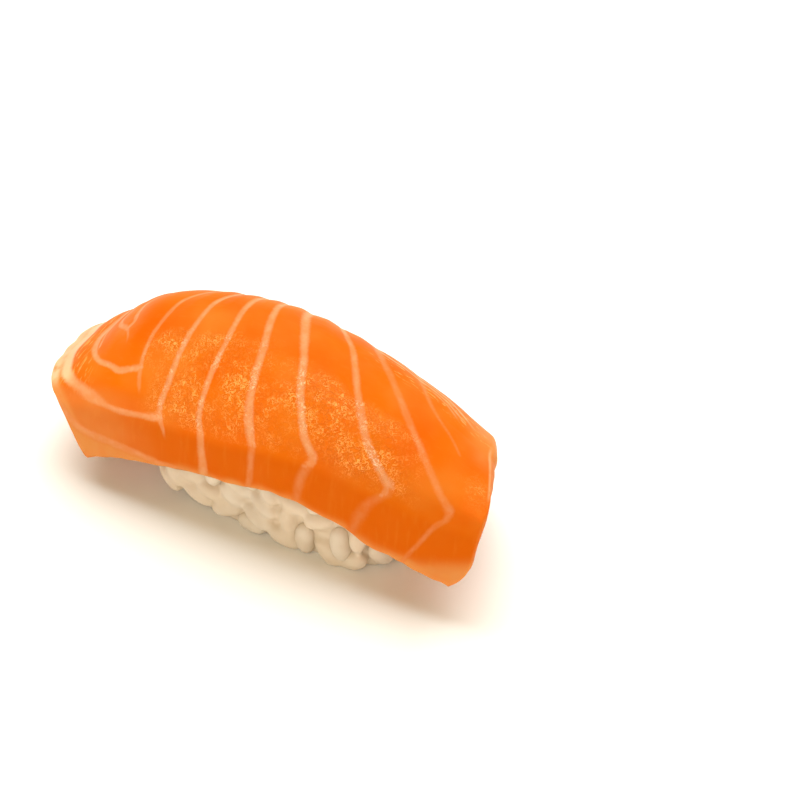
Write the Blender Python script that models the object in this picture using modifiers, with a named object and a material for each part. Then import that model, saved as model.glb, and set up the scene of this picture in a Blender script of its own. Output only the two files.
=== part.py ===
"""Salmon nigiri: a pressed ball of rice with one thick slice of salmon draped over it.

World frame: metres, +Z up, origin on the table under the middle of the rice, +X along the
slice, -Y its near side.  Two pieces, `rice` and `salmon_slice`, with a hair's gap between.
The slice is a slab cut on the bias: its near edge reaches further along +X than its far one.
"""

from dataclasses import dataclass

import bmesh
import bpy
import numpy as np
from mathutils import Vector, noise

MM = 0.001

# Rice: a loaf pressed between two fingers and a palm, flat where it stands.
RICE_LENGTH = 48.6 * MM
RICE_WIDTH = 26.4 * MM
RICE_BELLY_HEIGHT = 8.2 * MM    # height of its widest level
RICE_CROWN_HEIGHT = 25.0 * MM   # where its top would be without the slice on it
RICE_DEPTH_BELOW = 18.0 * MM    # how far it would reach below its widest level
RICE_END_SQUARENESS = 4.2       # 2 is an ellipse, higher is squarer
RICE_SIDE_SQUARENESS = 2.5
RICE_SKEW = 0.045               # how far its right end leans to the near side, per unit of X
GRAIN_PITCH = 5.2 * MM          # size of a lump in the outline
GRAIN_LIFT = 0.9 * MM           # how far a lump stands out
HANDLING_LIFT = 0.7 * MM        # broad unevenness left by the fingers
HEEL_RISE = 4.2 * MM            # how far the left end curves up off the table
HEEL_START = -3.0 * MM          # where along X it begins to rise
HEEL_SPAN = 21.0 * MM
HEEL_HEIGHT = 13.0 * MM         # level above which the rise has faded out
SEAT_GAP = 0.3 * MM             # kept between the rice and the slice

# Slice: how it curves between the stations of a rail.
SPREAD = 1.15                   # stations bunch slightly towards the middle
ARCH_LEFT = 2.5                 # the tail end curls down late and steeply
ARCH_RIGHT = 1.85               # the head end falls away evenly
DRAPE = 2.0                     # how the top falls from its crest to its cut edges
SWEEP = np.radians(45.0)        # how far the top turns over to each side
TAIL_BULGE = 1.1 * MM           # the ends bow out between crest and edge
HEAD_BULGE = 0.9 * MM
HEAD_CORNER = 4.0 * MM          # the head end's lower corners are worn round
TAIL_CORNER = 0.8 * MM
EDGE_ROUND = 0.7 * MM           # rounding along all cut edges
CELLS_ALONG = 26
CELLS_ACROSS = 14
CELLS_DEEP = 3

RICE_COLOUR = (0.78, 0.70, 0.56, 1.0)
SALMON_COLOUR = (0.91, 0.27, 0.06, 1.0)


@dataclass(frozen=True)
class Rail:
    """A line along the slice through its left end, its middle and its right end, in mm."""

    left: tuple
    middle: tuple
    right: tuple
    swells: tuple = ()          # (where along, how broad, how high)

    def at(self, u):
        """Point on the rail, in metres, for u from -1 at the left to +1 at the right."""
        left, middle, right = (np.array(p, float) for p in (self.left, self.middle, self.right))
        end = left if u < 0.0 else right
        reach = abs(u)
        arch = ARCH_LEFT if u < 0.0 else ARCH_RIGHT
        blend = np.array([reach ** SPREAD, reach ** 2.0, reach ** arch])
        point = middle + (end - middle) * blend
        for where, breadth, height in self.swells:
            point[2] += height * np.exp(-((u - where) / breadth) ** 2)
        return point * MM


# Top face: crest line and the two edges where the cut sides begin.
CREST = Rail((-42.3, 0.9, 13.1), (-3.8, 0.0, 30.6), (33.7, 0.0, 19.5),
             swells=((-0.83, 0.12, -0.8), (-0.60, 0.09, 0.35), (0.95, 0.12, -0.9)))
NEAR_RIDGE = Rail((-37.3, -12.5, 13.6), (1.0, -15.7, 19.4), (40.8, -13.3, 17.1),
                  swells=((-0.30, 0.25, -1.1), (0.35, 0.30, 1.2)))
FAR_RIDGE = Rail((-42.3, 12.4, 9.0), (-8.6, 15.2, 19.0), (25.6, 13.3, 10.5),
                 swells=((0.25, 0.30, 0.7),))
# Underside: its spine over the rice and the two lower edges.
SPINE = Rail((-40.8, 0.9, 9.8), (-3.8, 0.0, 23.1), (32.6, 0.0, 12.9))
NEAR_FOOT = Rail((-29.8, -14.6, 4.3), (4.3, -16.4, 11.3), (39.2, -15.9, 5.8),
                 swells=((-0.55, 0.30, -0.7), (0.20, 0.22, 0.9), (0.72, 0.24, -1.1)))
FAR_FOOT = Rail((-38.4, 13.2, 3.9), (-7.6, 16.0, 11.2), (24.8, 14.8, 5.2),
                swells=((-0.45, 0.25, 0.6), (0.60, 0.25, -0.6)))


def clear_scene():
    """Take away everything the file opens with."""
    for thing in list(bpy.data.objects):
        bpy.data.objects.remove(thing, do_unlink=True)


def material(name, colour, roughness):
    """Make a plain Principled material."""
    mat = bpy.data.materials.new(name)
    mat.use_nodes = True
    shader = mat.node_tree.nodes["Principled BSDF"]
    shader.inputs["Base Color"].default_value = colour
    shader.inputs["Roughness"].default_value = roughness
    shader.inputs["Metallic"].default_value = 0.0
    mat.diffuse_color = colour
    return mat


def sheet_point(u, across, spine, near, far):
    """Point of a draped face: its spine at across 0, its near edge at -1, its far one at 1."""
    middle = spine.at(u)
    edge = near.at(u) if across < 0.0 else far.at(u)
    reach = abs(across)
    turned = np.sin(reach * SWEEP) / np.sin(SWEEP)
    point = middle + (edge - middle) * np.array([reach, turned, reach ** DRAPE])
    bulge = TAIL_BULGE if u < 0.0 else HEAD_BULGE
    point[0] += np.sign(u) * u * u * bulge * 4.0 * reach * (1.0 - reach)
    return point


def slice_point(u, across, depth):
    """Point of the slab: depth 0 is its top face and 1 its underside."""
    top = sheet_point(u, across, CREST, NEAR_RIDGE, FAR_RIDGE)
    under = sheet_point(u, across, SPINE, NEAR_FOOT, FAR_FOOT)
    point = top + (under - top) * depth
    corner = TAIL_CORNER if u < 0.0 else HEAD_CORNER
    wear = abs(u) ** 10 * abs(across) ** 6 * (0.20 + 0.80 * depth ** 5)
    point[0] -= np.sign(u) * corner * wear
    return point


def underside_height(x, y):
    """Height of the slice's underside above a point of the table."""
    u = 0.0
    across = 0.0
    for _ in range(40):
        point = sheet_point(u, across, SPINE, NEAR_FOOT, FAR_FOOT)
        u = float(np.clip(u + (x - point[0]) / (37.0 * MM), -1.0, 1.0))
        across = float(np.clip(across + (y - point[1]) / (17.0 * MM), -1.0, 1.0))
    return sheet_point(u, across, SPINE, NEAR_FOOT, FAR_FOOT)[2]


def subdivided_box(cells):
    """A two-unit cube cut into cells along X, Y and Z, its twelve edges marked for rounding."""
    bm = bmesh.new()
    bmesh.ops.create_cube(bm, size=2.0)
    for axis, count in enumerate(cells):
        along = [e for e in bm.edges
                 if abs((e.verts[0].co - e.verts[1].co)[axis]) > 1e-4]
        bmesh.ops.subdivide_edges(bm, edges=along, cuts=count - 1, use_grid_fill=True)
    weight = bm.edges.layers.float.new("bevel_weight_edge")
    for edge in bm.edges:
        middle = (edge.verts[0].co + edge.verts[1].co) / 2.0
        if sum(abs(abs(c) - 1.0) < 1e-4 for c in middle) == 2:
            edge[weight] = 1.0
    return bm


def make_slice(collection):
    """The slab of salmon, bent over the rice."""
    bm = subdivided_box((CELLS_ALONG, CELLS_ACROSS, CELLS_DEEP))
    for vert in bm.verts:
        u = np.sin(vert.co.x * np.radians(62.0)) / np.sin(np.radians(62.0))
        across = np.sin(vert.co.y * np.radians(58.0)) / np.sin(np.radians(58.0))
        depth = (1.0 - vert.co.z) / 2.0
        vert.co = Vector(slice_point(float(u), float(across), depth))
    bmesh.ops.recalc_face_normals(bm, faces=bm.faces)
    obj = finish_object("salmon_slice", bm, collection, SALMON_COLOUR, 0.32)
    rounding = obj.modifiers.new("Cut edges", "BEVEL")
    rounding.limit_method = "WEIGHT"
    rounding.width = EDGE_ROUND
    rounding.segments = 2
    return obj


def rice_radius_scale(direction):
    """How far the pressed loaf reaches along a direction, as a vector in metres."""
    half = np.array([RICE_LENGTH / 2.0, RICE_WIDTH / 2.0, 1.0])
    half[2] = RICE_CROWN_HEIGHT - RICE_BELLY_HEIGHT if direction.z > 0.0 else RICE_DEPTH_BELOW
    plan = (abs(direction.x) ** RICE_END_SQUARENESS + abs(direction.y) ** RICE_END_SQUARENESS)
    plan = plan ** (RICE_SIDE_SQUARENESS / RICE_END_SQUARENESS)
    norm = (plan + abs(direction.z) ** RICE_SIDE_SQUARENESS) ** (1.0 / RICE_SIDE_SQUARENESS)
    reach = Vector(half * np.array(direction) / norm)
    reach.y -= RICE_SKEW * reach.x
    return reach


def grain_lumps(point):
    """Outward lift of the packed grains at a point of the loaf."""
    nearest = noise.voronoi(point / GRAIN_PITCH, distance_metric="DISTANCE")[0][0]
    lump = max(0.0, 1.0 - (nearest / 0.75) ** 2)
    broad = noise.noise(point / (13.0 * MM))
    return GRAIN_LIFT * (lump - 0.4) + HANDLING_LIFT * broad


def make_rice(collection):
    """The pressed ball of rice, uneven all round, flat below and shaped by the slice above."""
    bm = bmesh.new()
    bmesh.ops.create_icosphere(bm, subdivisions=5, radius=1.0)
    for vert in bm.verts:
        direction = vert.co.normalized()
        point = rice_radius_scale(direction)
        outward = Vector((point.x / 2.0, point.y, point.z)).normalized()
        point += outward * grain_lumps(point)
        point.z += RICE_BELLY_HEIGHT
        vert.co = point
    for vert in bm.verts:
        height = max(vert.co.z, 0.0)
        along = min(max((HEEL_START - vert.co.x) / HEEL_SPAN, 0.0), 1.0)
        low = max(1.0 - height / HEEL_HEIGHT, 0.0)
        ceiling = underside_height(vert.co.x, vert.co.y) - SEAT_GAP
        vert.co.z = min(height + HEEL_RISE * along ** 1.6 * low, ceiling)
    bmesh.ops.recalc_face_normals(bm, faces=bm.faces)
    return finish_object("rice", bm, collection, RICE_COLOUR, 0.5)


def finish_object(name, bm, collection, colour, roughness):
    """Turn a worked mesh into a named, smooth-shaded object with its material."""
    mesh = bpy.data.meshes.new(name)
    bm.to_mesh(mesh)
    bm.free()
    mesh.shade_smooth()
    mesh.set_sharp_from_angle(angle=np.radians(50.0))
    mesh.materials.append(material(name + "_finish", colour, roughness))
    obj = bpy.data.objects.new(name, mesh)
    collection.objects.link(obj)
    return obj


def main():
    """Build the two pieces."""
    clear_scene()
    collection = bpy.data.collections.new("salmon_nigiri")
    bpy.context.scene.collection.children.link(collection)
    make_rice(collection)
    make_slice(collection)


main()
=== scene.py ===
"""Salmon nigiri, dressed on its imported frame: a draped slice of salmon on a pressed ball of rice.

The classes work in millimetres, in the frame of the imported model, and their meshes are made in
metres.  Where a point lies on the slice is told by three numbers: `u` runs along it from -1 at
the tail end to +1 at the head end, `w` across its top from -1 at the near edge to +1 at the far
one, and `depth` from 0 on the top face to 1 on the underside.
"""

import logging
from collections.abc import Sequence
from dataclasses import dataclass, field
from enum import Enum

import bmesh
import bpy
import numpy as np
from mathutils import Matrix, Vector, noise


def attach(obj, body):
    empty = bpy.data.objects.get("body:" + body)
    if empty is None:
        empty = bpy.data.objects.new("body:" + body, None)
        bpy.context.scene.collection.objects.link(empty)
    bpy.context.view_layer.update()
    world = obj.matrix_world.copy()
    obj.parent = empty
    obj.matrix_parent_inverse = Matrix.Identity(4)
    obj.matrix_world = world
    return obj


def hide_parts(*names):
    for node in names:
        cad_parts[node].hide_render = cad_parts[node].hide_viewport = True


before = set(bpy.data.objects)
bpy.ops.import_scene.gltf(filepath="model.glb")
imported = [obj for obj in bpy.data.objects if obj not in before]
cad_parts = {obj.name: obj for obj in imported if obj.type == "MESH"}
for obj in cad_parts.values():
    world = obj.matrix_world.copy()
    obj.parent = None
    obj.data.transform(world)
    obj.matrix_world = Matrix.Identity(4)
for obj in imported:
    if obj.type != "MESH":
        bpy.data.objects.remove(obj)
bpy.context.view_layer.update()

log = logging.getLogger("salmon_nigiri")

MM = 0.001
Array = np.ndarray
Colour = tuple[float, float, float]
Point = tuple[float, float, float]


class Law(Enum):
    """How a quantity fades from 1 at the middle of a feature to 0 away from it."""

    BELL = "bell"
    STEP = "step"


def fade(distance: Array, reach: float, law: Law = Law.BELL) -> Array:
    """Fade from 1 at distance 0 towards 0 past a reach.

    Args:
        distance: Distances from the feature.
        reach: Distance over which the quantity fades.
        law: Shape of the fade.

    Returns:
        One number from 0 to 1 for each distance.
    """
    scaled = np.abs(distance) / reach
    if law is Law.BELL:
        return np.exp(-scaled ** 2)
    eased = np.clip(1.0 - scaled, 0.0, 1.0)
    return eased * eased * (3.0 - 2.0 * eased)


def rise(value: Array, low: float, high: float) -> Array:
    """Ease from 0 to 1 as a value goes from low to high.

    Args:
        value: Values to ease.
        low: Value that gives 0.
        high: Value that gives 1.

    Returns:
        One number from 0 to 1 for each value.
    """
    t = np.clip((value - low) / (high - low), 0.0, 1.0)
    return t * t * (3.0 - 2.0 * t)


def cloud(points: Array, size: float, seed: float = 0.0) -> Array:
    """Smooth unevenness in space, from about -1 to 1.

    Args:
        points: Points in millimetres, one a row.
        size: Size of its lumps in millimetres.
        seed: Shifts the pattern, so that two calls differ.

    Returns:
        One number for each point.
    """
    shift = Vector((seed * 7.1, seed * 3.3, seed * 5.7))
    scaled = points / size
    return np.array([noise.noise(Vector(p) + shift) for p in scaled])


# ---------------------------------------------------------------------------------------------
# Shader expressions


class Socket:
    """An output of a shader node that takes part in Python expressions."""

    def __init__(self, graph: "Graph", output: bpy.types.NodeSocket) -> None:
        """Wrap an output.

        Args:
            graph: Graph that the output belongs to.
            output: The node's output.
        """
        self.graph = graph
        self.output = output

    def _math(self, operation: str, *operands: "Socket | float") -> "Socket":
        """Add a Math node.

        Args:
            operation: The Math node's operation.
            *operands: Its inputs in order.

        Returns:
            The node's output.
        """
        values = dict(enumerate(operands))
        return self.graph.node("ShaderNodeMath", {"operation": operation}, values)

    def __add__(self, other: "Socket | float") -> "Socket":
        """Sum."""
        return self._math("ADD", self, other)

    def __radd__(self, other: float) -> "Socket":
        """Sum with a number on the left."""
        return self._math("ADD", other, self)

    def __sub__(self, other: "Socket | float") -> "Socket":
        """Difference."""
        return self._math("SUBTRACT", self, other)

    def __rsub__(self, other: float) -> "Socket":
        """Difference from a number on the left."""
        return self._math("SUBTRACT", other, self)

    def __mul__(self, other: "Socket | float") -> "Socket":
        """Product."""
        return self._math("MULTIPLY", self, other)

    def __rmul__(self, other: float) -> "Socket":
        """Product with a number on the left."""
        return self._math("MULTIPLY", other, self)

    def __truediv__(self, other: "Socket | float") -> "Socket":
        """Quotient."""
        return self._math("DIVIDE", self, other)

    def __pow__(self, other: "Socket | float") -> "Socket":
        """Power."""
        return self._math("POWER", self, other)

    def __abs__(self) -> "Socket":
        """Size without sign."""
        return self._math("ABSOLUTE", self)

    def least(self, other: "Socket | float") -> "Socket":
        """The smaller of the two."""
        return self._math("MINIMUM", self, other)

    def most(self, other: "Socket | float") -> "Socket":
        """The larger of the two."""
        return self._math("MAXIMUM", self, other)

    def eased(self, low: float, high: float) -> "Socket":
        """Ease from 0 to 1 between two values.

        Args:
            low: Value that gives 0.
            high: Value that gives 1, which may be the lower one.

        Returns:
            The eased output.
        """
        settings = {"interpolation_type": "SMOOTHSTEP"}
        return self.graph.node("ShaderNodeMapRange", settings, {0: self, 1: low, 2: high})


class Graph:
    """The node tree of one material, with a Principled shader at its end."""

    def __init__(self, name: str) -> None:
        """Start a material.

        Args:
            name: The material's name.
        """
        self.material = bpy.data.materials.new(name)
        self.material.use_nodes = True
        self.tree = self.material.node_tree
        self.shader = self.tree.nodes["Principled BSDF"]

    def node(
        self,
        kind: str,
        settings: dict[str, object] | None = None,
        inputs: dict[str | int, object] | None = None,
        output: str | int = 0,
    ) -> Socket:
        """Add one node.

        Args:
            kind: The node's type.
            settings: Its properties, set before its inputs; `stops` fills a ramp.
            inputs: A number, a colour, a vector or a Socket for each input.
            output: Which of its outputs is wanted.

        Returns:
            That output.
        """
        made = self.tree.nodes.new(kind)
        for key, value in (settings or {}).items():
            if key == "stops":
                self._fill_ramp(made.color_ramp, value)
            else:
                setattr(made, key, value)
        for key, value in (inputs or {}).items():
            self.feed(made.inputs[key], value)
        return Socket(self, made.outputs[output])

    def _fill_ramp(self, ramp: bpy.types.ColorRamp, stops: Sequence[tuple[float, Colour]]) -> None:
        """Set a ramp's stops.

        Args:
            ramp: The ramp.
            stops: Position and colour of each stop, from first to last.
        """
        while len(ramp.elements) < len(stops):
            ramp.elements.new(0.5)
        for element, (position, colour) in zip(ramp.elements, stops):
            element.position = position
            element.color = (*colour, 1.0)

    def feed(self, target: bpy.types.NodeSocket, value: object) -> None:
        """Link an output to an input, or set the input's own value.

        Args:
            target: The input.
            value: A Socket, a number, a colour or a vector.
        """
        if isinstance(value, Socket):
            self.tree.links.new(value.output, target)
        elif isinstance(value, tuple) and target.type == "RGBA":
            target.default_value = (*value, 1.0)
        else:
            target.default_value = value

    def attribute(self, name: str) -> Socket:
        """A number stored on the mesh's points."""
        return self.node("ShaderNodeAttribute", {"attribute_name": name}, output="Fac")

    def place(self, stretch: Point = (1.0, 1.0, 1.0), turn: Point = (0.0, 0.0, 0.0)) -> Socket:
        """The surface's place in the object's own space, in millimetres.

        Args:
            stretch: Factor along each axis; a small one draws a pattern out along it.
            turn: Rotation of the pattern, in radians.

        Returns:
            The vector.
        """
        space = self.node("ShaderNodeTexCoord", output="Object")
        scale = tuple(s / MM for s in stretch)
        return self.node(
            "ShaderNodeMapping", inputs={"Vector": space, "Rotation": turn, "Scale": scale}
        )

    def noise(
        self, where: Socket, size: float, detail: float = 2.0, warp: float = 0.0
    ) -> Socket:
        """Smooth noise around 0.5.

        Args:
            where: Place in millimetres.
            size: Size of its lumps in millimetres.
            detail: How many finer layers it has.
            warp: How much it is distorted.

        Returns:
            The noise.
        """
        values = {"Vector": where, "Scale": 1.0 / size, "Detail": detail, "Distortion": warp}
        return self.node("ShaderNodeTexNoise", inputs=values)

    def mix(self, amount: Socket | float, under: Socket | Colour, over: Socket | Colour) -> Socket:
        """Mix two colours.

        Args:
            amount: 0 for the first, 1 for the second.
            under: First colour.
            over: Second colour.

        Returns:
            The mixed colour.
        """
        values = {0: amount, 6: under, 7: over}
        return self.node("ShaderNodeMix", {"data_type": "RGBA"}, values, output=2)

    def scaled(self, colour: Socket, factor: Socket | float) -> Socket:
        """Make a colour brighter or darker.

        Args:
            colour: The colour.
            factor: What it is multiplied by.

        Returns:
            The colour.
        """
        values = {0: colour, "Scale": factor}
        return self.node("ShaderNodeVectorMath", {"operation": "SCALE"}, values)

    def dress(self, colour: Socket, roughness: Socket | float, **constants: object) -> None:
        """Feed the shader.

        Args:
            colour: Base colour.
            roughness: Roughness.
            **constants: Values of other inputs, named with _ for each space.
        """
        self.feed(self.shader.inputs["Base Color"], colour)
        self.feed(self.shader.inputs["Roughness"], roughness)
        for name, value in constants.items():
            self.feed(self.shader.inputs[name.replace("_", " ")], value)

    def relief(self, height: Socket, depth: float, strength: float = 1.0) -> None:
        """Give the surface a fine relief.

        Args:
            height: Relief from 0 to 1.
            depth: Height in millimetres that 1 stands for.
            strength: How much of it shows.
        """
        values = {"Height": height, "Distance": depth * MM, "Strength": strength}
        bump = self.node("ShaderNodeBump", inputs=values)
        self.feed(self.shader.inputs["Normal"], bump)


class SkyGraph(Graph):
    """The node tree of the room's light, with a Background shader at its end."""

    def __init__(self, name: str) -> None:
        """Start a world.

        Args:
            name: The world's name.
        """
        self.world = bpy.data.worlds.new(name)
        self.world.use_nodes = True
        self.tree = self.world.node_tree
        self.shader = self.tree.nodes["Background"]


# ---------------------------------------------------------------------------------------------
# Finishes


@dataclass(frozen=True)
class SalmonFinish:
    """Wet raw salmon: orange muscle between pale seams of fat, paler where it is thin, with painted light shining
    through thin rims and painted glints, sheen and shade.
    """

    flesh: Colour = (0.660, 0.134, 0.002)
    deep: Colour = (0.650, 0.104, 0.001)
    # Lighter orange of random tone and fibres, also the painted sheen over the wet patch.
    light: Colour = (0.660, 0.180, 0.020)
    # The cut side's own deeper orange, darkened further as painted shade.
    shaded_cut_side: Colour = (0.600, 0.104, 0.002)
    fat: Colour = (0.680, 0.255, 0.092)
    fat_core: Colour = (0.720, 0.340, 0.165)
    # Paler orange where the flesh is thin, at its rims partly painted light shining through.
    thin: Colour = (0.660, 0.250, 0.065)
    tail: Colour = (0.710, 0.440, 0.250)
    # Golden flecks of the streaks, also the colour of the painted glint highlights.
    golden_fleck_and_glint: Colour = (0.900, 0.350, 0.085)
    # Painted shade of the dark strokes beside the painted glints.
    pit_shade: Colour = (0.600, 0.096, 0.002)
    hair: Colour = (0.800, 0.470, 0.240)
    # Painted highlight colour of the sparkles on the fat in the wet patch.
    spark: Colour = (0.820, 0.580, 0.370)

    def material(self) -> bpy.types.Material:
        """Build the material.

        Returns:
            The material.
        """
        g = Graph("wet_salmon")
        here = g.place()
        seam = g.attribute("seam")
        richness = g.attribute("richness")
        grain = g.attribute("grain")
        side = g.attribute("side")

        broad = g.noise(here, 9.0, 2.0)
        fibres = g.noise(g.place((0.10, 0.9, 0.9), (0.0, 0.0, 0.35)), 0.5, 3.0)
        cut_fibres = g.noise(g.place((0.9, 0.9, 0.12), (0.0, 0.35, 0.0)), 0.8, 2.0)
        flesh = g.mix(broad.eased(0.35, 0.75) * 0.8, self.flesh, self.light)
        flesh = g.mix(g.attribute("shade") * 0.85, flesh, self.deep)
        flesh = g.mix(fibres.eased(0.52, 0.80) * 0.20, flesh, self.light)
        # The cut side takes the shaded cut-side colour, faintly over the top by the ridge too: partly its own
        # deeper orange, partly painted shade.
        flesh = g.mix(side * 0.85, flesh, self.shaded_cut_side)
        flesh = g.mix(side * cut_fibres.eased(0.50, 0.76) * 0.22, flesh, self.light)

        # Painted highlights and painted shade: over the wet patch the glints are bright strokes and the pits are
        # dark strokes beside them, as if the lamp caught a fine relief. The patch is also lifted towards a painted
        # sheen.
        ripple = g.noise(here, 0.56, 1.0, 1.0) - 0.5
        glints = (1.0 - abs(ripple - 0.035) * 15.0).eased(0.05, 0.60) * grain
        shaded_pits = (1.0 - abs(ripple + 0.050) * 17.0).eased(0.05, 0.70) * grain
        clusters = g.noise(here, 2.2, 2.0).eased(0.42, 0.60)
        flesh = g.mix(grain * (0.25 + 0.30 * clusters), flesh, self.light)
        flesh = g.mix(shaded_pits * (0.20 + 0.45 * clusters), flesh, self.pit_shade)
        flesh = g.mix(glints * (0.20 + 0.75 * clusters), flesh, self.golden_fleck_and_glint)
        strokes = g.noise(g.place((1.1, 0.14, 0.5), (0.0, 0.0, 0.2)), 0.55, 2.0)
        flesh = g.mix(g.attribute("streak") * strokes.eased(0.53, 0.64) * 0.6, flesh, self.golden_fleck_and_glint)
        flesh = g.mix(g.attribute("combed") * fibres.eased(0.56, 0.66) * 0.7, flesh, self.golden_fleck_and_glint)

        wobble = (g.noise(here, 0.5, 3.0) - 0.5) * 0.55 + (g.noise(here, 3.0, 1.0) - 0.5) * 0.5
        band = (seam + wobble).eased(1.45, 0.50)
        core = (seam + wobble).eased(0.85, 0.15)
        patchy = g.noise(here, 1.8, 2.0).eased(0.35, 0.65)
        body = g.mix(band * richness, flesh, self.fat)
        body = g.mix(core * richness * patchy * 0.6, body, self.fat_core)
        # Painted highlights: sparkles on the fat lines in the wet patch.
        body = g.mix(band * richness * glints * (0.2 + 0.8 * clusters), body, self.spark)

        thin = (g.attribute("thin") * (0.75 + 0.5 * g.noise(here, 2.5, 2.0))).least(1.0)
        # Paler where the flesh is thin, partly painted light shining through its rims.
        body = g.mix(thin * (1.0 - 0.6 * band), body, self.thin)
        body = g.mix(g.attribute("tail") * band, body, self.tail)
        body = g.mix(g.attribute("tip") * g.noise(here, 2.2, 2.0).eased(0.15, 0.50), body, self.tail)
        body = g.mix(g.attribute("hair") * (0.2 + 0.9 * g.noise(here, 1.3, 1.0)), body, self.hair)
        # Painted light: the near flank towards the ridge and the wet patch are brightened, as if more light fell
        # on them.
        body = g.scaled(body, 1.0 + 0.12 * g.attribute("glow") + 0.11 * grain)

        g.dress(
            body,
            0.42 - 0.06 * band + 0.05 * grain,
            Subsurface_Weight=0.22,
            Subsurface_Radius=(1.0, 0.30, 0.10),
            Subsurface_Scale=1.3 * MM,
            Specular_IOR_Level=0.02,
            Specular_Tint=(1.0, 0.55, 0.15),
            Coat_Weight=0.05 * grain,
            Coat_Roughness=0.22,
        )
        g.relief((glints - shaded_pits) * 0.30 + 0.20 * fibres, 0.14, 1.0)
        return g.material


@dataclass(frozen=True)
class RiceFinish:
    """Cooked rice: milky, slightly see-through, with a lighter cream painted in the hollows as light bouncing
    there.
    """

    grain: Colour = (0.64, 0.535, 0.41)
    milky: Colour = (0.69, 0.60, 0.485)
    # Painted light: the lighter cream that stands for light bouncing in the creases between grains.
    hollow: Colour = (0.70, 0.565, 0.41)
    clearness: float = 0.22

    def material(self) -> bpy.types.Material:
        """Build the material.

        Returns:
            The material.
        """
        g = Graph("cooked_rice")
        here = g.place()
        milk = g.noise(here, 3.2, 1.0)
        colour = g.mix(milk.eased(0.35, 0.65), self.grain, self.milky)
        # Painted light in the creases of the packed rice; on the loose grains the same attribute is a random
        # warmer tone.
        colour = g.mix(g.attribute("tone_and_crease_light") * 0.6, colour, self.hollow)
        g.dress(
            colour,
            0.42 + 0.12 * milk,
            Subsurface_Weight=self.clearness,
            Subsurface_Radius=(1.0, 0.85, 0.70),
            Subsurface_Scale=1.2 * MM,
            Specular_IOR_Level=0.35,
            Coat_Weight=0.08,
            Coat_Roughness=0.25,
        )
        g.relief(g.noise(here, 0.45, 2.0), 0.08, 0.4)
        return g.material


@dataclass(frozen=True)
class TableFinish:
    """Plain pale table."""

    white: Colour = (0.96, 0.96, 0.96)

    def material(self) -> bpy.types.Material:
        """Build the material.

        Returns:
            The material.
        """
        g = Graph("pale_table")
        g.feed(g.shader.inputs["Base Color"], self.white)
        g.feed(g.shader.inputs["Roughness"], 0.8)
        g.feed(g.shader.inputs["Specular IOR Level"], 0.2)
        return g.material


# ---------------------------------------------------------------------------------------------
# Shape of the slice


@dataclass(frozen=True)
class Rail:
    """A line along the slice through its left end, its middle and its right end."""

    left: Point
    middle: Point
    right: Point
    swells: tuple[Point, ...] = ()

    def at(self, u: Array, law: "Drape") -> Array:
        """Points on the rail.

        Args:
            u: How far along, from -1 to 1.
            law: How the slice curves between the stations.

        Returns:
            One point a row, in millimetres.
        """
        middle = np.array(self.middle)
        end = np.where((u < 0.0)[:, None], np.array(self.left), np.array(self.right))
        reach = np.abs(u)
        arch = np.where(u < 0.0, law.arch_left, law.arch_right)
        blend = np.stack([reach ** law.spread, reach ** 2.0, reach ** arch], axis=1)
        points = middle + (end - middle) * blend
        for where, breadth, height in self.swells:
            points[:, 2] += height * np.exp(-(((u - where) / breadth) ** 2))
        return points


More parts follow.
